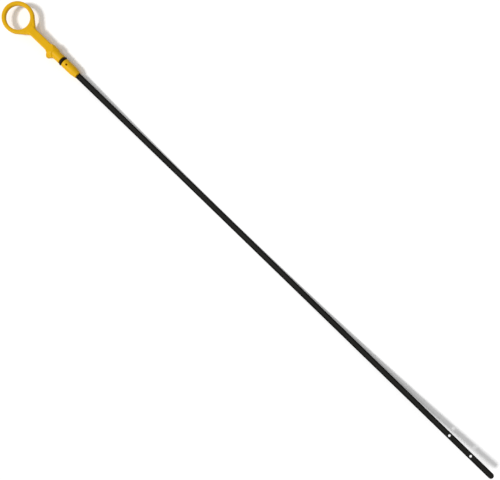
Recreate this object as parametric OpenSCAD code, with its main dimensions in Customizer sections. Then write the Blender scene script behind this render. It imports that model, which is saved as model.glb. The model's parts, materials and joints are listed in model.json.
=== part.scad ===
// Engine oil dipstick: a moulded handle with a finger ring and a sealing plug, a rubber O-ring
// in the plug's groove, and a blackened steel strip with two level holes at its tip.
// Millimetres. +X runs towards the tip, +Z is up, and the origin is on the plug's axis at the
// seat, where the collar meets the mouth of the dipstick tube. The pieces are drawn with the
// plug's axis along +X and then tipped to the way the dipstick lies on a flat surface: the strip
// has taken a slight bow, so it touches the surface only below its centre of mass, and the
// handle and the tip both stand clear.

/* [Finger ring] */
// Outside diameter of the ring
ring_od = 28; // [24:0.5:40]
// Width of the ring's band along a radius
ring_band = 3.6; // [3:0.1:5]
// Depth of the ring, through its hole
ring_depth = 3.6; // [3:0.1:4.8]
// Rounding of the ring's edges
ring_edge_r = 1.2; // [0.4:0.1:1.4]

/* [Neck] */
// Distance from the ring's rim to where the neck's flanks meet the stem
neck_len = 3.4; // [2:0.1:8]
// Width of the two flanks
flank_w = 2.4; // [1.8:0.1:2.8]
// How far the flanks stand back from the ring's rim and faces
flank_step = 0.1; // [0.05:0.05:0.3]
// Thickness of the web between the flanks
web_t = 3; // [1.6:0.1:3.2]

/* [Stem] */
// Distance from the ring's rim to the foot of the collar's ramp, inside the stem
stem_len = 21.5; // [14:0.1:40]
// Width of the stem, seen from above
stem_w = 7.2; // [6:0.1:7.4]
// Thickness of the stem
stem_t = 5; // [4.8:0.1:6.4]
// Rounding of the stem's long edges
stem_edge_r = 1.2; // [0.4:0.1:1.6]
// Length over which the stem thins down to the web of the neck
stem_scarf = 3.6; // [2:0.1:6]

/* [Collar] */
// Width of the collar, seen from above
collar_w = 9.8; // [9.6:0.1:13]
// Thickness of the collar over its flat crest
collar_t = 8.8; // [8.4:0.1:10]
// Rounding of the collar's long edges
collar_edge_r = 4; // [0.8:0.1:4.1]
// Length of the ramp from its foot, inside the stem, up to the crest
ramp_len = 5.4; // [4:0.1:8]
// Length of the crest
crest_len = 1.2; // [1:0.1:4]
// Length of the slope from the crest down to the seat
back_len = 3; // [2:0.1:5]
// Length of the collar's sides that widen from the stem
shoulder_len = 3.2; // [1.4:0.1:3.6]
// Length of the collar's sides that narrow to the seat
heel_len = 1.8; // [1:0.1:2.4]
// Rounding of the collar's crest and corners
crest_r = 1.2; // [0.3:0.1:1.4]

/* [Locating lug] */
// How far the lug's tip stands from the plug's axis
lug_reach = 7.6; // [6.5:0.1:10]
// Thickness of the lug
lug_t = 3; // [2:0.1:5]
// Rounding of the lug's tip
lug_tip_r = 1.6; // [0.6:0.1:3]
// Slope of the lug's flanks, in degrees from the plug's axis
lug_slope = 51; // [45:1:64]
// How far the lug's middle lies ahead of the crest's middle, towards the ring
lug_lead = 0.5; // [0:0.1:2]

/* [Plug] */
// Diameter of the plug that slides into the dipstick tube
plug_d = 8.1; // [7.8:0.05:8.8]
// Length of the upper land, from the seat to the groove
upper_land = 6.6; // [4:0.1:9]
// Length of the lower land, from the groove to the nose
lower_land = 10.5; // [8:0.1:20]
// Length of the tapered nose
nose_len = 5.3; // [2:0.1:9]
// Diameter of the nose where the strip comes out
nose_d = 6.2; // [6:0.1:7.2]
// Rounding between the lower land and the nose
nose_r = 3; // [0.5:0.1:4]
// Rounding of the end of the nose
nose_end_r = 0.3; // [0.2:0.05:0.4]
// Diameter of the holes left by the two mould pins that hold the strip
pin_hole_d = 1.8; // [1:0.1:2.4]
// Distance from the end of the strip, inside the plug, to the pin holes
pin_hole_at = 2.2; // [1.5:0.1:4]

/* [O-ring] */
// Thickness of the rubber
cord_d = 2.1; // [1.6:0.05:2.3]
// Width of the groove
groove_w = 3; // [2.6:0.1:4]
// Diameter of the groove's floor
floor_d = 4.6; // [4.4:0.1:5]
// How far the stretched ring is flattened where it grips the floor
grip = 0.05; // [0.02:0.01:0.15]

/* [Strip] */
// Width of the strip
strip_w = 5.2; // [4.2:0.1:5.2]
// Thickness of the strip
strip_t = 0.8; // [0.7:0.05:1.2]
// Rounding of the strip's rolled edges
strip_edge_r = 0.3; // [0.1:0.05:0.34]
// Length of the strip from the nose to the tip
strip_len = 499; // [300:0.5:700]
// Radius of the bow that the strip has taken
bow_radius = 3700; // [3000:50:9000]
// Plastic left between the groove and the end of the strip inside the plug
end_wall = 1.5; // [0.8:0.1:3]
// Diameter of the hole through which the plastic grips the strip
anchor_d = 2.2; // [1.2:0.1:3]
// Distance from the nose back to the anchor hole
anchor_at = 5; // [2.5:0.1:7]

/* [Level holes] */
// Diameter of the two level holes
level_hole_d = 2.3; // [1.6:0.1:3.2]
// Distance from the tip to the lower hole
low_hole_at = 25.6; // [12:0.1:50]
// Distance between the holes, from the low level to the full level
level_pitch = 24.6; // [10:0.1:50]

/* [Weights] */
// Weight of a cubic millimetre of the plastic, in grams
plastic_g = 0.00136; // [0.0010:0.00001:0.0016]
// Weight of a cubic millimetre of the steel, in grams
steel_g = 0.00785; // [0.0077:0.00001:0.0080]

/* [Hidden] */
$fn = 96;
bow_fn = 2160;
arc_steps = 6;
clear = 1;
foot_sink = 0.5;
seat_sink = 0.1;
seat_corner = 30;

// Stations along the plug's axis, from the seat
crest_end_x = -back_len;
crest_x = crest_end_x - crest_len;
foot_x = crest_x - ramp_len;
lug_x = crest_x + crest_len / 2 - lug_lead;
ring_x = foot_x - stem_len - ring_od / 2;
groove_x = upper_land;
groove_end_x = groove_x + groove_w;
nose_x = groove_end_x + lower_land;
exit_x = nose_x + nose_len;
strip_end_x = groove_end_x + end_wall;
tip_x = exit_x + strip_len;

// The neck's flanks leave the ring as tangents, and meet the sides of the stem
band_r = (ring_od - ring_band) / 2;
flank_rim_r = ring_od / 2 - flank_step;
flank_end = [ring_od / 2 + neck_len, stem_w / 2 - flank_step];
flank_turn = acos(flank_rim_r / norm(flank_end));
flank_angle = atan2(flank_end[1], flank_end[0]) + flank_turn;
flank_len = norm(flank_end) * sin(flank_turn);

// Groove and O-ring
cord_centre_r = floor_d / 2 - grip + cord_d / 2;

// How it lies: the strip touches the surface below the centre of mass. Each weight is paired
// with the station of its middle, and the bow hardly moves the middle of the strip.
weights = [
    [2 * PI * band_r * ring_band * ring_depth * plastic_g, ring_x],
    [stem_w * stem_t * stem_len * plastic_g, foot_x - stem_len / 2],
    [PI / 4 * plug_d * plug_d * (exit_x - foot_x) * plastic_g, (exit_x + foot_x) / 2],
    [strip_w * strip_t * (tip_x - strip_end_x) * steel_g, (tip_x + strip_end_x) / 2]
];
balance_x = sum([for (w = weights) w[0] * w[1]]) / sum([for (w = weights) w[0]]);
tilt = (balance_x - exit_x) / bow_radius * 180 / PI;

function sum(values) = values * [for (v = values) 1];

function unit(v) = v / norm(v);

// Points of an arc of radius r that rounds the corner b between a and c
function arc_at(a, b, c, r) =
    let (u = unit(a - b), v = unit(c - b), half = acos(u * v) / 2)
    let (centre = b + unit(u + v) * r / sin(half), from = b + u * r / tan(half) - centre)
    let (turn = (180 - 2 * half) * sign(u[1] * v[0] - u[0] * v[1]))
    [for (i = [0:arc_steps])
        let (t = turn * i / arc_steps)
        centre + [from[0] * cos(t) - from[1] * sin(t), from[0] * sin(t) + from[1] * cos(t)]];

// Outline through the points [x, y, radius], with each corner rounded by its radius
function rounded(points) =
    let (n = len(points), at = [for (p = points) [p[0], p[1]]])
    [for (i = [0:n - 1])
        each points[i][2] > 0
            ? arc_at(at[(i + n - 1) % n], at[i], at[(i + 1) % n], points[i][2])
            : [at[i]]];

// Rectangle centred on the origin with rounded corners
module rounded_rectangle(size, r) {
    square([size[0] - 2 * r, size[1]], center = true);
    square([size[0], size[1] - 2 * r], center = true);
    for (x = [-1, 1], y = [-1, 1])
        translate([x * (size[0] / 2 - r), y * (size[1] / 2 - r)]) circle(r);
}

// Turns an outline of [radius, station] about the plug's axis
module turn_about_axis() {
    rotate([0, 90, 0]) rotate_extrude() children();
}

// Draws an outline of [y, z] out along +X
module extrude_along_x(length) {
    rotate([90, 0, 90]) linear_extrude(length) children();
}

// Tips a piece from the plug's axis to the way the dipstick lies
module as_it_lies() {
    rotate([0, tilt, 0]) children();
}

// Moves a piece to a distance along the bowed strip, measured from the nose
module along_strip(distance) {
    translate([exit_x, 0, bow_radius])
        rotate([0, -distance / bow_radius * 180 / PI, 0])
            translate([0, 0, -bow_radius]) children();
}

module finger_ring() {
    translate([ring_x, 0, 0]) rotate_extrude() translate([band_r, 0])
        rounded_rectangle([ring_band, ring_depth], ring_edge_r);
}

// Two straight flanks with the ring's own edge, and the web that fills the space between them
module neck() {
    flank_r = flank_rim_r - flank_w / 2;
    start = [cos(flank_angle), sin(flank_angle)] * flank_r;
    end = start + [sin(flank_angle), -cos(flank_angle)] * flank_len;
    translate([ring_x, 0, 0]) {
        for (side = [0, 1]) mirror([0, side, 0])
            translate(start) rotate([0, 0, flank_angle - 90]) extrude_along_x(flank_len)
                rounded_rectangle([flank_w, ring_depth - 2 * flank_step], ring_edge_r - flank_step);
        linear_extrude(web_t, center = true) difference() {
            polygon([start, end, [end[0], -end[1]], [start[0], -start[1]]]);
            circle(band_r);
        }
    }
}

// Straight bar with rounded edges, thinned to the web where it meets the neck
module stem() {
    start_x = ring_x + (band_r + ring_od / 2) / 2;
    full_x = start_x + stem_scarf;
    intersection() {
        translate([start_x, 0, 0]) extrude_along_x(crest_x - start_x)
            rounded_rectangle([stem_w, stem_t], stem_edge_r);
        rotate([90, 0, 0]) linear_extrude(2 * stem_w, center = true)
            polygon([
                [start_x, -web_t / 2], [full_x, -stem_t / 2],
                [crest_x + clear, -stem_t / 2], [crest_x + clear, stem_t / 2],
                [full_x, stem_t / 2], [start_x, web_t / 2]
            ]);
    }
}

// The points [x, y, radius] of one side of an outline, and the same on the other side of the axis
function both_sides(points) =
    let (n = len(points))
    concat(points, [for (i = [n - 1:-1:0]) [points[i][0], -points[i][1], points[i][2]]]);

// Flat-topped collar: a bar with rounded edges, cut to its outlines from the side and from above.
// Its foot starts inside the stem, and its other end closes inside the plug at the seat.
module collar() {
    foot = [stem_w / 2, stem_t / 2] - [foot_sink, foot_sink];
    seat = [cos(seat_corner), sin(seat_corner)] * (plug_d / 2 - seat_sink);
    side = [
        [foot_x, foot[1], 0], [crest_x, collar_t / 2, crest_r],
        [crest_end_x, collar_t / 2, crest_r], [0, seat[1], 0]
    ];
    plan = [
        [foot_x, foot[0], 0], [foot_x + shoulder_len, collar_w / 2, crest_r],
        [-heel_len, collar_w / 2, crest_r], [0, seat[0], 0]
    ];
    intersection() {
        translate([foot_x, 0, 0]) extrude_along_x(-foot_x)
            rounded_rectangle([collar_w, collar_t], collar_edge_r);
        rotate([90, 0, 0]) linear_extrude(2 * collar_w, center = true)
            polygon(rounded(both_sides(side)));
        linear_extrude(2 * collar_t, center = true) polygon(rounded(both_sides(plan)));
    }
}

// One turned form from inside the collar to the end of the nose, with the groove cut in
module plug() {
    profile = [
        [crest_x, 0, 0], [crest_x, plug_d / 2, 0],
        [groove_x, plug_d / 2, 0], [groove_x, floor_d / 2, 0],
        [groove_end_x, floor_d / 2, 0], [groove_end_x, plug_d / 2, 0],
        [nose_x, plug_d / 2, nose_r], [exit_x, nose_d / 2, nose_end_r], [exit_x, 0, 0]
    ];
    turn_about_axis() polygon([for (p = rounded(profile)) [p[1], p[0]]]);
}

// Pointed lug on one side of the collar, with sloping flanks and a rounded tip
module locating_lug() {
    apex = lug_reach + lug_tip_r * (1 / cos(lug_slope) - 1);
    base = apex / tan(lug_slope);
    translate([lug_x, 0, -lug_t / 2]) linear_extrude(lug_t)
        polygon(rounded([[-base, 0, 0], [0, -apex, lug_tip_r], [base, 0, 0]]));
}

// Straight end of the strip, held inside the plug, with the anchor hole
module strip_inside_plug(past_nose) {
    difference() {
        translate([strip_end_x, 0, 0])
            extrude_along_x(exit_x - strip_end_x + past_nose) strip_section();
        translate([exit_x - anchor_at, 0, 0]) cylinder(d = anchor_d, h = 2 * strip_t, center = true);
    }
}

// Section of the rolled strip, as [y, z]
module strip_section() {
    y = strip_w / 2;
    z = strip_t / 2;
    polygon(rounded([for (p = [[-y, -z], [y, -z], [y, z], [-y, z]]) [p[0], p[1], strip_edge_r]]));
}

module handle() {
    color([0.93, 0.7, 0.06]) as_it_lies() difference() {
        union() {
            finger_ring();
            neck();
            stem();
            collar();
            plug();
            locating_lug();
        }
        strip_inside_plug(past_nose = clear);
        translate([strip_end_x + pin_hole_at, 0, 0])
            cylinder(d = pin_hole_d, h = plug_d + clear, center = true);
    }
}

module o_ring() {
    color([0.06, 0.06, 0.06]) as_it_lies()
        translate([groove_x + groove_w / 2, 0, 0]) turn_about_axis() difference() {
            translate([cord_centre_r, 0]) circle(d = cord_d);
            translate([0, -cord_d]) square([floor_d / 2, 2 * cord_d]);
        }
}

module blade() {
    bow_angle = strip_len / bow_radius * 180 / PI;
    color([0.12, 0.12, 0.12]) as_it_lies() {
        strip_inside_plug(past_nose = 0);
        difference() {
            translate([exit_x, 0, bow_radius]) rotate([90, 90, 0])
                rotate_extrude(angle = bow_angle, $fn = bow_fn)
                    translate([bow_radius, 0]) rotate(90) strip_section();
            along_strip(strip_len - strip_w / 2) difference() {
                translate([0, -strip_w, -strip_w]) cube(2 * strip_w);
                cylinder(d = strip_w, h = 3 * strip_w, center = true);
            }
            for (hole = [0, 1])
                along_strip(strip_len - low_hole_at - hole * level_pitch)
                    cylinder(d = level_hole_d, h = 2 * strip_t, center = true);
        }
    }
}

handle();
o_ring();
blade();
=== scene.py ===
"""Engine oil dipstick: a moulded yellow handle, a rubber O-ring and a blackened steel strip.

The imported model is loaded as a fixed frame, and each piece is then modelled where its solid is.
Everything is in metres. Pieces are drawn with the plug's axis along +X and its seat at the origin,
and then tipped to the way the dipstick lies.
"""

import json
import math

import bmesh
import bpy
from bpy.props import FloatProperty, FloatVectorProperty, IntProperty, PointerProperty
from mathutils import Matrix, Vector


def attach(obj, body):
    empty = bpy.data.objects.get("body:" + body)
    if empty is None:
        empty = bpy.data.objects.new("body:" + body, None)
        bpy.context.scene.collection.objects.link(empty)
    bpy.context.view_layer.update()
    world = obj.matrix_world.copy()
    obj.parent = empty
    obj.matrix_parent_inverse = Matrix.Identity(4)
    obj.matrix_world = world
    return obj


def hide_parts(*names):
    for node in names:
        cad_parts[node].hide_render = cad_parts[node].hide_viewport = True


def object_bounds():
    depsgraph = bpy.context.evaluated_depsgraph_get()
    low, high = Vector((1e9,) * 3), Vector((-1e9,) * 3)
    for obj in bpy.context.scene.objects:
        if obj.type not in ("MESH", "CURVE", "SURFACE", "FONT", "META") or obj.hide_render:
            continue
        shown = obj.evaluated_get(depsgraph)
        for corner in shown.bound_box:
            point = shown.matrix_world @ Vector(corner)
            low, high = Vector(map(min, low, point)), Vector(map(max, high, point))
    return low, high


bl_info = {
    "name": "Engine oil dipstick",
    "version": (1, 0, 0),
    "blender": (4, 5, 0),
    "location": "View3D > Sidebar > Dipstick",
    "description": "Models an engine oil dipstick with its finishes, and the stage that it lies on",
    "category": "Add Mesh",
}

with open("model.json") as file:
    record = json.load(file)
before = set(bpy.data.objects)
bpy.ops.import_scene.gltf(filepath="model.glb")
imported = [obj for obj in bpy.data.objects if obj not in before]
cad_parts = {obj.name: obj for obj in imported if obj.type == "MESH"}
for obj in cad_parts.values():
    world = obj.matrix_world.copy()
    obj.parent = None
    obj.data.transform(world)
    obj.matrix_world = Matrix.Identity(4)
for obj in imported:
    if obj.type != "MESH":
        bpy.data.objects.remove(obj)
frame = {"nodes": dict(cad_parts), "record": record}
cad_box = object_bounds()

MM = 0.001
BODY = "root"
MOUNTS = {mount["name"]: mount for mount in frame["record"]["mounts"]}

# How the dipstick lies: its plug's axis is tipped a little, so that the handle stands clear
AXIS = Vector(MOUNTS["plug"]["axis"])
LIES = Matrix.Rotation(math.atan2(-AXIS.z, AXIS.x), 4, "Y")
SURFACE_Z = cad_box[0][2]


# How strongly each surface mirrors, as the shader's specular level
PLASTIC_SHINE = 0.11
RUBBER_SHINE = 0.15
STEEL_SHINE = 0.07

# The part of the cloudy pattern's range over which a surface goes from its least to its most matt
CLOUD_RANGE = (0.3, 0.7)

# Depth of the grain on the rubber and on the black finish
RUBBER_GRAIN = 0.01 * MM
STEEL_GRAIN = 0.008 * MM

# Distances from the plug's middle plane where the seam's full height ends, and where its foot ends
SEAM_EDGE = (0.03 * MM, 0.12 * MM)

# Draws the strip's pattern out along its length, so that spots become rolled lines
ROLLED_LINES = (0.03, 1, 1)

# Distances from the strip's middle line, as shares of its width, where the painted highlight along its
# middle starts to fade and where it has faded
PAINTED_HIGHLIGHT_BAND = (0.1, 0.4)

# Steps of the round forms, and how far apart the strip is cut across for its bow
O_RING_STEPS = 120
CORD_STEPS = 32
TIP_STEPS = 32
HOLE_STEPS = 48
EDGE_STEPS = 4
ROUND_PROFILE = 0.5
BOW_STEP = 5 * MM

# Points nearer to each other than this are one point, and nearer to a cut than this are on it
SAME_POINT = 0.001 * MM
ON_THE_CUT = 0.0001 * MM

# A face is a flat side if more of its normal than this is upright, and a wall if less than this is
FLAT_SIDE = 0.9
WALL = 0.1

# The rims of holes lie nearer to the strip's middle line than this share of its width
HOLE_ZONE = 0.3

# The floor's half width and its roughness, and the nearest thing that the camera sees
FLOOR_REACH = 6
FLOOR_ROUGHNESS = 0.9
NEAREST_SEEN = 0.01


# Sizes and colours that a user would change


class HandleSettings(bpy.types.PropertyGroup):
    """Sizes of the moulded handle's surface"""

    voxel: FloatProperty(
        name="Mesh size",
        description="Edge length of the handle's mesh",
        default=0.22 * MM,
        min=0.1 * MM,
        precision=5,
        unit="LENGTH",
    )
    blend_passes: IntProperty(
        name="Blend passes",
        description="Smoothing passes that round the moulding's inner and outer corners",
        default=6,
        min=0,
    )
    texture_depth: FloatProperty(
        name="Texture depth",
        description="Depth of the fine texture that the mould leaves",
        default=0.02 * MM,
        precision=5,
        unit="LENGTH",
    )
    seam_height: FloatProperty(
        name="Seam height",
        description="How far the line stands proud where the two halves of the mould met",
        default=0.04 * MM,
        precision=5,
        unit="LENGTH",
    )
    colour: FloatVectorProperty(
        name="Plastic",
        description="Colour of the moulded plastic",
        subtype="COLOR",
        size=3,
        default=(0.73, 0.400, 0.003),
    )
    pale_colour: FloatVectorProperty(
        name="Pale plastic",
        description="Colour where the plastic is a little paler",
        subtype="COLOR",
        size=3,
        default=(0.80, 0.445, 0.004),
    )


class ORingSettings(bpy.types.PropertyGroup):
    """Sizes and colour of the O-ring"""

    middle: FloatProperty(
        name="Middle",
        description="Distance of the O-ring from the seat, along the plug",
        default=8.1 * MM,
        precision=5,
        unit="LENGTH",
    )
    cord_d: FloatProperty(
        name="Cord",
        description="Thickness of the rubber",
        default=2.1 * MM,
        precision=5,
        unit="LENGTH",
    )
    floor_d: FloatProperty(
        name="Groove floor",
        description="Diameter of the floor of the groove that the rubber grips",
        default=4.6 * MM,
        precision=5,
        unit="LENGTH",
    )
    grip: FloatProperty(
        name="Grip",
        description="How far the rubber is flattened where it grips the floor",
        default=0.05 * MM,
        precision=5,
        unit="LENGTH",
    )
    colour: FloatVectorProperty(
        name="Rubber",
        description="Colour of the rubber",
        subtype="COLOR",
        size=3,
        default=(0.008, 0.004, 0.002),
    )


class StripSettings(bpy.types.PropertyGroup):
    """Sizes and colours of the steel strip"""

    width: FloatProperty(
        name="Width",
        description="Width of the strip",
        default=5.2 * MM,
        precision=5,
        unit="LENGTH",
    )
    thickness: FloatProperty(
        name="Thickness",
        description="Thickness of the strip",
        default=0.8 * MM,
        precision=5,
        unit="LENGTH",
    )
    edge_r: FloatProperty(
        name="Edge radius",
        description="Rounding of the rolled edges",
        default=0.3 * MM,
        precision=5,
        unit="LENGTH",
    )
    inner_end: FloatProperty(
        name="Inner end",
        description="Where the strip starts inside the plug, from the seat",
        default=11.1 * MM,
        precision=5,
        unit="LENGTH",
    )
    nose: FloatProperty(
        name="Nose",
        description="Where the strip leaves the nose of the handle, from the seat",
        default=25.4 * MM,
        precision=5,
        unit="LENGTH",
    )
    length: FloatProperty(
        name="Length",
        description="Length of the strip from the nose to the tip",
        default=499 * MM,
        precision=4,
        unit="LENGTH",
    )
    bow_radius: FloatProperty(
        name="Bow radius",
        description="Radius of the slight bow that the strip has taken",
        default=3.7,
        unit="LENGTH",
    )
    anchor_d: FloatProperty(
        name="Anchor hole",
        description="Diameter of the hole through which the plastic grips the strip",
        default=2.2 * MM,
        precision=5,
        unit="LENGTH",
    )
    anchor_at: FloatProperty(
        name="Anchor distance",
        description="Distance from the nose back to the anchor hole",
        default=5.0 * MM,
        precision=5,
        unit="LENGTH",
    )
    level_hole_d: FloatProperty(
        name="Level hole",
        description="Diameter of the two level holes",
        default=2.3 * MM,
        precision=5,
        unit="LENGTH",
    )
    low_hole_at: FloatProperty(
        name="Low level",
        description="Distance from the tip to the lower hole",
        default=25.6 * MM,
        precision=5,
        unit="LENGTH",
    )
    level_pitch: FloatProperty(
        name="Level pitch",
        description="Distance between the two level holes",
        default=24.6 * MM,
        precision=5,
        unit="LENGTH",
    )
    hole_edge_r: FloatProperty(
        name="Hole edges",
        description="Rounding of the edges of the holes",
        default=0.1 * MM,
        precision=5,
        unit="LENGTH",
    )
    colour: FloatVectorProperty(
        name="Blackened steel",
        description="Colour of the black finish near the edges",
        subtype="COLOR",
        size=3,
        default=(0.0035, 0.0035, 0.003),
    )
    # The paler middle colour is a painted highlight along the middle of the flat
    pale_colour: FloatVectorProperty(
        name="Painted middle highlight",
        description="Colour of the black finish along the middle of the flat",
        subtype="COLOR",
        size=3,
        default=(0.026, 0.025, 0.022),
    )


class StageSettings(bpy.types.PropertyGroup):
    """Camera, lights and floor"""

    camera_height: FloatProperty(
        name="Camera height",
        description="Height of the camera above the floor",
        default=0.506,
        unit="LENGTH",
    )
    camera_x: FloatProperty(
        name="Camera x",
        description="Where the camera stands along the dipstick",
        default=0.233,
        unit="LENGTH",
    )
    camera_y: FloatProperty(
        name="Camera y",
        description="Where the camera stands to the side of the dipstick",
        default=0.0015,
        unit="LENGTH",
    )
    camera_turn: FloatProperty(
        name="Camera turn",
        description="Turn of the camera about the vertical",
        default=math.radians(44.10),
        subtype="ANGLE",
    )
    view_angle: FloatProperty(
        name="View angle",
        description="Angle of view across the picture's width",
        default=2 * math.atan(250 / 575),
        subtype="ANGLE",
    )
    key_strength: FloatProperty(
        name="Key light",
        description="Share of the light on the floor that comes from the key light",
        default=0.50,
    )
    key_direction: FloatVectorProperty(
        name="Key direction",
        description="Where the key light stands, seen from the dipstick",
        subtype="DIRECTION",
        size=3,
        default=(-0.30, -0.67, 1),
    )
    key_angle: FloatProperty(
        name="Key size",
        description="Width of the key light, as an angle",
        default=math.radians(12),
        subtype="ANGLE",
    )
    second_strength: FloatProperty(
        name="Second light",
        description="Share of the light on the floor that comes from the second light",
        default=0.12,
    )
    second_direction: FloatVectorProperty(
        name="Second direction",
        description="Where the second light stands, seen from the dipstick",
        subtype="DIRECTION",
        size=3,
        default=(0, -0.22, 1),
    )
    second_angle: FloatProperty(
        name="Second size",
        description="Width of the second light, as an angle",
        default=math.radians(20),
        subtype="ANGLE",
    )
    world_strength: FloatProperty(
        name="Surroundings",
        description="Share of the light on the floor that comes from all round",
        default=0.38,
    )
    floor_glow: FloatProperty(
        name="Floor glow",
        description="Brightness that the floor adds for the camera, so that only the shadow shows",
        default=0.06,
    )
    floor_colour: FloatVectorProperty(
        name="Floor",
        description="Colour of the floor",
        subtype="COLOR",
        size=3,
        default=(0.9, 0.9, 0.9),
    )


# Helpers for meshes


def new_object(name, bm, material):
    """An object at the origin that holds the mesh and wears the material."""
    mesh = bpy.data.meshes.new(name)
    bm.to_mesh(mesh)
    bm.free()
    mesh.materials.append(material)
    made = bpy.data.objects.new(name, mesh)
    bpy.context.scene.collection.objects.link(made)
    return made


def finished_piece(name, bm, material, node):
    """A piece of the dipstick that stands for its CAD node."""
    piece = new_object(name, bm, material)
    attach(piece, BODY)
    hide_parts(node)
    return piece


def apply_modifiers(piece):
    """Turns the piece's modifiers into its mesh."""
    bpy.context.view_layer.update()
    shaped = piece.evaluated_get(bpy.context.evaluated_depsgraph_get())
    piece.data = bpy.data.meshes.new_from_object(shaped)
    piece.modifiers.clear()


def smooth_faces(bm):
    for face in bm.faces:
        face.smooth = True


# Helpers for materials


def new_material(name):
    """A material with its node tree, and its shader."""
    material = bpy.data.materials.new(name)
    material.use_nodes = True
    return material, material.node_tree, material.node_tree.nodes["Principled BSDF"]


def add_node(tree, kind, **values):
    """A node with its properties set by name, and its inputs by the names of their sockets."""
    node = tree.nodes.new(kind)
    for name, value in values.items():
        if hasattr(node, name):
            setattr(node, name, value)
        else:
            node.inputs[name.replace("_", " ")].default_value = value
    return node


def grain_group():
    """Fine grain of a surface, and the slow change in how matt and how pale it is."""
    name = "Surface grain"
    if name in bpy.data.node_groups:
        return bpy.data.node_groups[name]
    group = bpy.data.node_groups.new(name, "ShaderNodeTree")
    face = group.interface
    face.new_socket("Place", in_out="INPUT", socket_type="NodeSocketVector")
    for socket in ("Grain", "Cloud", "Matt from", "Matt to"):
        face.new_socket(socket, in_out="INPUT", socket_type="NodeSocketFloat")
    for socket in ("Height", "Mottle", "Roughness"):
        face.new_socket(socket, in_out="OUTPUT", socket_type="NodeSocketFloat")

    given = group.nodes.new("NodeGroupInput")
    result = group.nodes.new("NodeGroupOutput")
    grain = add_node(group, "ShaderNodeTexNoise", Detail=3, Roughness=0.6)
    cloud = add_node(group, "ShaderNodeTexNoise", Detail=4, Roughness=0.55)
    matt = group.nodes.new("ShaderNodeMapRange")
    link = group.links.new
    link(given.outputs["Place"], grain.inputs["Vector"])
    link(given.outputs["Place"], cloud.inputs["Vector"])
    link(given.outputs["Grain"], grain.inputs["Scale"])
    link(given.outputs["Cloud"], cloud.inputs["Scale"])
    link(cloud.outputs["Fac"], matt.inputs["Value"])
    link(given.outputs["Matt from"], matt.inputs["To Min"])
    link(given.outputs["Matt to"], matt.inputs["To Max"])
    matt.inputs["From Min"].default_value, matt.inputs["From Max"].default_value = CLOUD_RANGE
    link(grain.outputs["Fac"], result.inputs["Height"])
    link(cloud.outputs["Fac"], result.inputs["Mottle"])
    link(matt.outputs["Result"], result.inputs["Roughness"])
    return group


def add_grain(tree, place, **values):
    """The grain group at a place's coordinates, with its inputs by the names of their sockets."""
    node = tree.nodes.new("ShaderNodeGroup")
    node.node_tree = grain_group()
    for name, value in values.items():
        node.inputs[name.replace("_", " ")].default_value = value
    tree.links.new(place, node.inputs["Place"])
    return node


def add_two_tones(tree, shader, factor, colour, other_colour):
    """Gives the shader one colour where the factor is 0 and the other where it is 1."""
    tones = add_node(tree, "ShaderNodeMix", data_type="RGBA")
    tones.inputs["A"].default_value = (*colour, 1)
    tones.inputs["B"].default_value = (*other_colour, 1)
    tree.links.new(factor, tones.inputs["Factor"])
    tree.links.new(tones.outputs["Result"], shader.inputs["Base Color"])


def add_bump(tree, height, depth):
    bump = add_node(tree, "ShaderNodeBump", Distance=depth)
    tree.links.new(height, bump.inputs["Height"])
    return bump


def add_smooth_range(tree, value, near, far):
    """Falls smoothly from 1 where the value is near to 0 where it is far."""
    fall = add_node(tree, "ShaderNodeMapRange", interpolation_type="SMOOTHSTEP")
    fall.inputs["From Min"].default_value = near
    fall.inputs["From Max"].default_value = far
    fall.inputs["To Min"].default_value = 1
    fall.inputs["To Max"].default_value = 0
    tree.links.new(value, fall.inputs["Value"])
    return fall


# Finishes


def yellow_plastic(settings):
    """Injection-moulded plastic: fine mould texture, and the line where the mould's halves met."""
    material, tree, shader = new_material("Yellow plastic")
    link = tree.links.new
    place = tree.nodes.new("ShaderNodeTexCoord")
    grain = add_grain(tree, place.outputs["Object"], Grain=3500, Cloud=180, Matt_from=0.36, Matt_to=0.48)
    add_two_tones(tree, shader, grain.outputs["Mottle"], settings.colour, settings.pale_colour)
    link(grain.outputs["Roughness"], shader.inputs["Roughness"])
    shader.inputs["Specular IOR Level"].default_value = PLASTIC_SHINE

    # The seam lies in the plug's middle plane, so the pattern is tipped back by the dipstick's tilt
    level = add_node(tree, "ShaderNodeMapping")
    level.inputs["Rotation"].default_value = LIES.inverted().to_euler()
    link(place.outputs["Object"], level.inputs["Vector"])
    split = tree.nodes.new("ShaderNodeSeparateXYZ")
    link(level.outputs["Vector"], split.inputs["Vector"])
    above = add_node(tree, "ShaderNodeMath", operation="ABSOLUTE")
    link(split.outputs["Z"], above.inputs[0])
    seam = add_smooth_range(tree, above.outputs["Value"], *SEAM_EDGE)

    texture = add_bump(tree, grain.outputs["Height"], settings.texture_depth)
    line = add_bump(tree, seam.outputs["Result"], settings.seam_height)
    link(texture.outputs["Normal"], line.inputs["Normal"])
    link(line.outputs["Normal"], shader.inputs["Normal"])
    return material


def black_rubber(settings):
    """Matt moulded rubber."""
    material, tree, shader = new_material("Black rubber")
    link = tree.links.new
    place = tree.nodes.new("ShaderNodeTexCoord")
    grain = add_grain(tree, place.outputs["Object"], Grain=6000, Cloud=500, Matt_from=0.5, Matt_to=0.65)
    paler = [2 * value for value in settings.colour]
    add_two_tones(tree, shader, grain.outputs["Mottle"], settings.colour, paler)
    link(grain.outputs["Roughness"], shader.inputs["Roughness"])
    shader.inputs["Specular IOR Level"].default_value = RUBBER_SHINE
    bump = add_bump(tree, grain.outputs["Height"], RUBBER_GRAIN)
    link(bump.outputs["Normal"], shader.inputs["Normal"])
    return material


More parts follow.
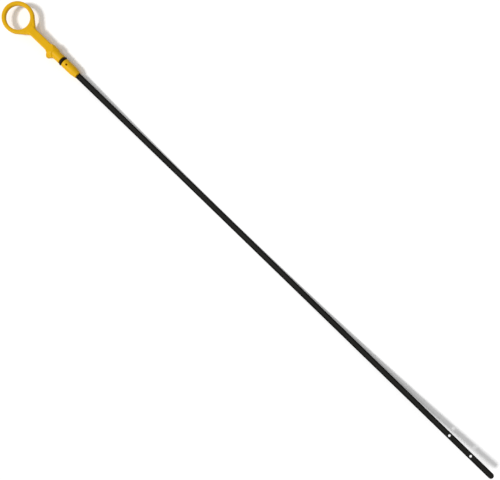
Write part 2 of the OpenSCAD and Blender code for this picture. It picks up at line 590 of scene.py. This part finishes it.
def blackened_steel(settings):
    """Rolled strip with a black finish and lines along its length, and a painted highlight along its
    middle.
    """
    material, tree, shader = new_material("Blackened steel")
    link = tree.links.new
    place = tree.nodes.new("ShaderNodeTexCoord")
    drawn_out = add_node(tree, "ShaderNodeMapping")
    drawn_out.inputs["Scale"].default_value = ROLLED_LINES
    link(place.outputs["Object"], drawn_out.inputs["Vector"])
    lines = drawn_out.outputs["Vector"]
    grain = add_grain(tree, lines, Grain=5000, Cloud=900, Matt_from=0.36, Matt_to=0.52)

    # The paler middle is a painted highlight along the flat, broken up by the mottle; the edges keep the
    # plain black
    split = tree.nodes.new("ShaderNodeSeparateXYZ")
    link(place.outputs["Object"], split.inputs["Vector"])
    aside = add_node(tree, "ShaderNodeMath", operation="ABSOLUTE")
    link(split.outputs["Y"], aside.inputs[0])
    highlight_full_until, highlight_gone_from = (part * settings.width for part in PAINTED_HIGHLIGHT_BAND)
    middle = add_smooth_range(tree, aside.outputs["Value"], highlight_full_until, highlight_gone_from)
    paler = add_node(tree, "ShaderNodeMath", operation="MULTIPLY")
    link(middle.outputs["Result"], paler.inputs[0])
    link(grain.outputs["Mottle"], paler.inputs[1])
    add_two_tones(tree, shader, paler.outputs["Value"], settings.colour, settings.pale_colour)
    link(grain.outputs["Roughness"], shader.inputs["Roughness"])
    shader.inputs["Specular IOR Level"].default_value = STEEL_SHINE
    bump = add_bump(tree, grain.outputs["Height"], STEEL_GRAIN)
    link(bump.outputs["Normal"], shader.inputs["Normal"])
    return material


# Pieces


class DIPSTICK_OT_handle(bpy.types.Operator):
    """Model the handle: the solid's own form with the soft corners of a moulding"""

    bl_idname = "dipstick.handle"
    bl_label = "Handle"

    def execute(self, context):
        settings = context.scene.dipstick_handle
        bm = bmesh.new()
        bm.from_mesh(frame["nodes"]["handle"].data)
        bmesh.ops.remove_doubles(bm, verts=bm.verts, dist=SAME_POINT)
        piece = finished_piece("Handle", bm, yellow_plastic(settings), "handle")
        remesh = piece.modifiers.new("Even mesh", "REMESH")
        remesh.mode = "VOXEL"
        remesh.voxel_size = settings.voxel
        remesh.use_smooth_shade = True
        soften = piece.modifiers.new("Soft corners", "SMOOTH")
        soften.iterations = settings.blend_passes
        apply_modifiers(piece)
        return {"FINISHED"}


class DIPSTICK_OT_o_ring(bpy.types.Operator):
    """Model the O-ring in the plug's groove"""

    bl_idname = "dipstick.o_ring"
    bl_label = "O-ring"

    def execute(self, context):
        settings = context.scene.dipstick_o_ring
        floor_r = settings.floor_d / 2
        middle_r = floor_r - settings.grip + settings.cord_d / 2
        bm = bmesh.new()
        section = bmesh.ops.create_circle(bm, radius=settings.cord_d / 2, segments=CORD_STEPS)["verts"]
        bmesh.ops.rotate(bm, verts=section, matrix=Matrix.Rotation(math.pi / 2, 3, "X"))
        bmesh.ops.translate(bm, verts=section, vec=(settings.middle, 0, middle_r))
        for vert in section:
            vert.co.z = max(vert.co.z, floor_r)
        bmesh.ops.spin(
            bm, geom=bm.verts[:] + bm.edges[:], cent=(0, 0, 0), axis=(1, 0, 0),
            angle=2 * math.pi, steps=O_RING_STEPS, use_merge=True,
        )
        bmesh.ops.remove_doubles(bm, verts=bm.verts, dist=SAME_POINT)
        bmesh.ops.recalc_face_normals(bm, faces=bm.faces)
        bmesh.ops.transform(bm, matrix=LIES, verts=bm.verts)
        smooth_faces(bm)
        finished_piece("O_ring", bm, black_rubber(settings), "o_ring")
        return {"FINISHED"}


def strip_outline(bm, settings):
    """Outline of the flat strip with its round tip, and of its three holes."""
    half = settings.width / 2
    tip = settings.nose + settings.length
    start = bm.verts.new((tip - half, -half, 0))
    arc = bmesh.ops.spin(
        bm, geom=[start], cent=(tip - half, 0, 0), axis=(0, 0, 1), angle=math.pi, steps=TIP_STEPS
    )
    last = arc["geom_last"][0]
    back = []
    for vert in (start, last):
        drawn = bmesh.ops.extrude_vert_indiv(bm, verts=[vert])["verts"]
        drawn[0].co.x = settings.inner_end
        back.append(drawn[0])
    bm.edges.new(back)
    low_level = tip - settings.low_hole_at
    holes = (
        (settings.nose - settings.anchor_at, settings.anchor_d),
        (low_level, settings.level_hole_d),
        (low_level - settings.level_pitch, settings.level_hole_d),
    )
    for along, diameter in holes:
        bmesh.ops.create_circle(
            bm, radius=diameter / 2, segments=HOLE_STEPS, matrix=Matrix.Translation((along, 0, 0))
        )


def rim_edges(bm, settings, of_holes):
    """Edges between a flat side and the strip's outer rim, or the walls of its holes."""
    start = settings.inner_end + MM
    end = settings.nose + settings.length - settings.width
    near_middle = HOLE_ZONE * settings.width
    found = []
    for edge in bm.edges:
        flats = [face for face in edge.link_faces if abs(face.normal.z) > FLAT_SIDE]
        walls = [face for face in edge.link_faces if abs(face.normal.z) < WALL]
        if not flats or not walls:
            continue
        # A hole's wall faces the strip's middle line, the rim of a long side faces away from it, and
        # the two ends are told by how far along they are
        point = edge.verts[0].co
        in_hole = abs(point.y) < near_middle and walls[0].normal.y * point.y <= 0
        if (in_hole and start < point.x < end) == of_holes:
            found.append(edge)
    return found


def bow(bm, settings):
    """Bends what is past the nose to the radius that the strip has taken."""
    for vert in bm.verts:
        angle = (vert.co.x - settings.nose) / settings.bow_radius
        if angle > 0:
            out = settings.bow_radius - vert.co.z
            vert.co.x = settings.nose + out * math.sin(angle)
            vert.co.z = settings.bow_radius - out * math.cos(angle)


class DIPSTICK_OT_blade(bpy.types.Operator):
    """Model the steel strip with its rolled edges, level holes and round tip"""

    bl_idname = "dipstick.blade"
    bl_label = "Steel strip"

    def execute(self, context):
        settings = context.scene.dipstick_strip
        bm = bmesh.new()
        strip_outline(bm, settings)
        bmesh.ops.triangle_fill(bm, edges=bm.edges[:], use_beauty=True, use_dissolve=True)
        bmesh.ops.translate(bm, verts=bm.verts, vec=(0, 0, -settings.thickness / 2))
        drawn = bmesh.ops.extrude_face_region(bm, geom=bm.faces[:], use_keep_orig=True)["geom"]
        raised = [part for part in drawn if isinstance(part, bmesh.types.BMVert)]
        bmesh.ops.translate(bm, verts=raised, vec=(0, 0, settings.thickness))
        bmesh.ops.recalc_face_normals(bm, faces=bm.faces)
        for of_holes, radius in ((False, settings.edge_r), (True, settings.hole_edge_r)):
            bm.normal_update()
            bmesh.ops.bevel(
                bm, geom=rim_edges(bm, settings, of_holes), affect="EDGES", offset=radius,
                offset_type="OFFSET", segments=EDGE_STEPS, profile=ROUND_PROFILE, material=-1,
            )
        cuts = int(settings.length / BOW_STEP)
        for count in range(cuts):
            station = settings.nose + settings.length * count / cuts
            bmesh.ops.bisect_plane(
                bm, geom=bm.verts[:] + bm.edges[:] + bm.faces[:], dist=ON_THE_CUT,
                plane_co=(station, 0, 0), plane_no=(1, 0, 0),
            )
        bow(bm, settings)
        bmesh.ops.transform(bm, matrix=LIES, verts=bm.verts)
        # The solid's bow is made of short flats, so the smooth one is lifted a hair onto the surface
        lowest = min(vert.co.z for vert in bm.verts)
        bmesh.ops.translate(bm, verts=bm.verts, vec=(0, 0, max(SURFACE_Z - lowest, 0)))
        smooth_faces(bm)
        piece = finished_piece("Blade", bm, blackened_steel(settings), "blade")
        normals = piece.modifiers.new("Flat sides", "WEIGHTED_NORMAL")
        normals.keep_sharp = True
        return {"FINISHED"}


# Stage


def pale_floor(settings):
    """Matt floor that keeps the shadow, and that a camera or a reflection sees as white."""
    material, tree, shader = new_material("Pale floor")
    link = tree.links.new
    shader.inputs["Roughness"].default_value = FLOOR_ROUGHNESS
    shader.inputs["Specular IOR Level"].default_value = 0
    path = tree.nodes.new("ShaderNodeLightPath")
    seen = add_node(tree, "ShaderNodeMath", operation="ADD", use_clamp=True)
    link(path.outputs["Is Camera Ray"], seen.inputs[0])
    link(path.outputs["Is Glossy Ray"], seen.inputs[1])
    also = add_node(tree, "ShaderNodeMath", operation="ADD", use_clamp=True)
    link(seen.outputs["Value"], also.inputs[0])
    link(path.outputs["Is Transmission Ray"], also.inputs[1])
    add_two_tones(tree, shader, also.outputs["Value"], settings.floor_colour, (1, 1, 1))
    shader.inputs["Emission Color"].default_value = (*[settings.floor_glow] * 3, 1)
    link(path.outputs["Is Camera Ray"], shader.inputs["Emission Strength"])
    return material


def pale_surroundings(settings):
    """Even light from all round, which the camera sees as the same white as the floor."""
    world = bpy.data.worlds.new("Surroundings")
    world.use_nodes = True
    tree = world.node_tree
    background = tree.nodes["Background"]
    background.inputs["Color"].default_value = (1, 1, 1, 1)
    path = tree.nodes.new("ShaderNodeLightPath")
    strength = tree.nodes.new("ShaderNodeMapRange")
    strength.inputs["To Min"].default_value = settings.world_strength
    strength.inputs["To Max"].default_value = 1
    tree.links.new(path.outputs["Is Camera Ray"], strength.inputs["Value"])
    tree.links.new(strength.outputs["Result"], background.inputs["Strength"])
    return world


def add_sun(name, direction, share, angle):
    """A soft parallel light from a direction, giving a share of the light on the level floor."""
    towards = Vector(direction).normalized()
    data = bpy.data.lights.new(name, "SUN")
    data.energy = share * math.pi / towards.z
    data.angle = angle
    lamp = bpy.data.objects.new(name, data)
    lamp.rotation_euler = towards.to_track_quat("Z", "Y").to_euler()
    lamp.location = towards
    bpy.context.scene.collection.objects.link(lamp)


class DIPSTICK_OT_stage(bpy.types.Operator):
    """Set the floor, the lights and the camera"""

    bl_idname = "dipstick.stage"
    bl_label = "Stage"

    def execute(self, context):
        scene = context.scene
        settings = scene.dipstick_stage
        bm = bmesh.new()
        bmesh.ops.create_grid(bm, x_segments=1, y_segments=1, size=FLOOR_REACH)
        bmesh.ops.translate(bm, verts=bm.verts, vec=(0, 0, SURFACE_Z))
        floor = new_object("Floor", bm, pale_floor(settings))
        add_sun("Key light", settings.key_direction, settings.key_strength, settings.key_angle)
        add_sun(
            "Second light", settings.second_direction, settings.second_strength, settings.second_angle
        )
        scene.world = pale_surroundings(settings)

        data = bpy.data.cameras.new("Camera")
        data.angle = settings.view_angle
        data.clip_start = NEAREST_SEEN
        camera = bpy.data.objects.new("Camera", data)
        camera.location = (settings.camera_x, settings.camera_y, SURFACE_Z + settings.camera_height)
        camera.rotation_euler = (0, 0, settings.camera_turn)
        scene.collection.objects.link(camera)
        scene.camera = camera
        scene.view_settings.view_transform = "Standard"
        return {"FINISHED"}


# The add-on


class DIPSTICK_PT_panel(bpy.types.Panel):
    """Lists the operators that model the dipstick"""

    bl_idname = "DIPSTICK_PT_panel"
    bl_label = "Engine oil dipstick"
    bl_space_type = "VIEW_3D"
    bl_region_type = "UI"
    bl_category = "Dipstick"

    def draw(self, context):
        for operator in OPERATORS:
            self.layout.operator(operator.bl_idname)


OPERATORS = (DIPSTICK_OT_stage, DIPSTICK_OT_handle, DIPSTICK_OT_o_ring, DIPSTICK_OT_blade)
SETTINGS = {
    "dipstick_handle": HandleSettings,
    "dipstick_o_ring": ORingSettings,
    "dipstick_strip": StripSettings,
    "dipstick_stage": StageSettings,
}


def register():
    for name, group in SETTINGS.items():
        bpy.utils.register_class(group)
        setattr(bpy.types.Scene, name, PointerProperty(type=group))
    for part in (*OPERATORS, DIPSTICK_PT_panel):
        bpy.utils.register_class(part)


def unregister():
    for part in (DIPSTICK_PT_panel, *OPERATORS):
        bpy.utils.unregister_class(part)
    for name, group in SETTINGS.items():
        delattr(bpy.types.Scene, name)
        bpy.utils.unregister_class(group)


def main():
    register()
    bpy.ops.dipstick.stage()
    bpy.ops.dipstick.handle()
    bpy.ops.dipstick.o_ring()
    bpy.ops.dipstick.blade()


if __name__ == "__main__":
    main()
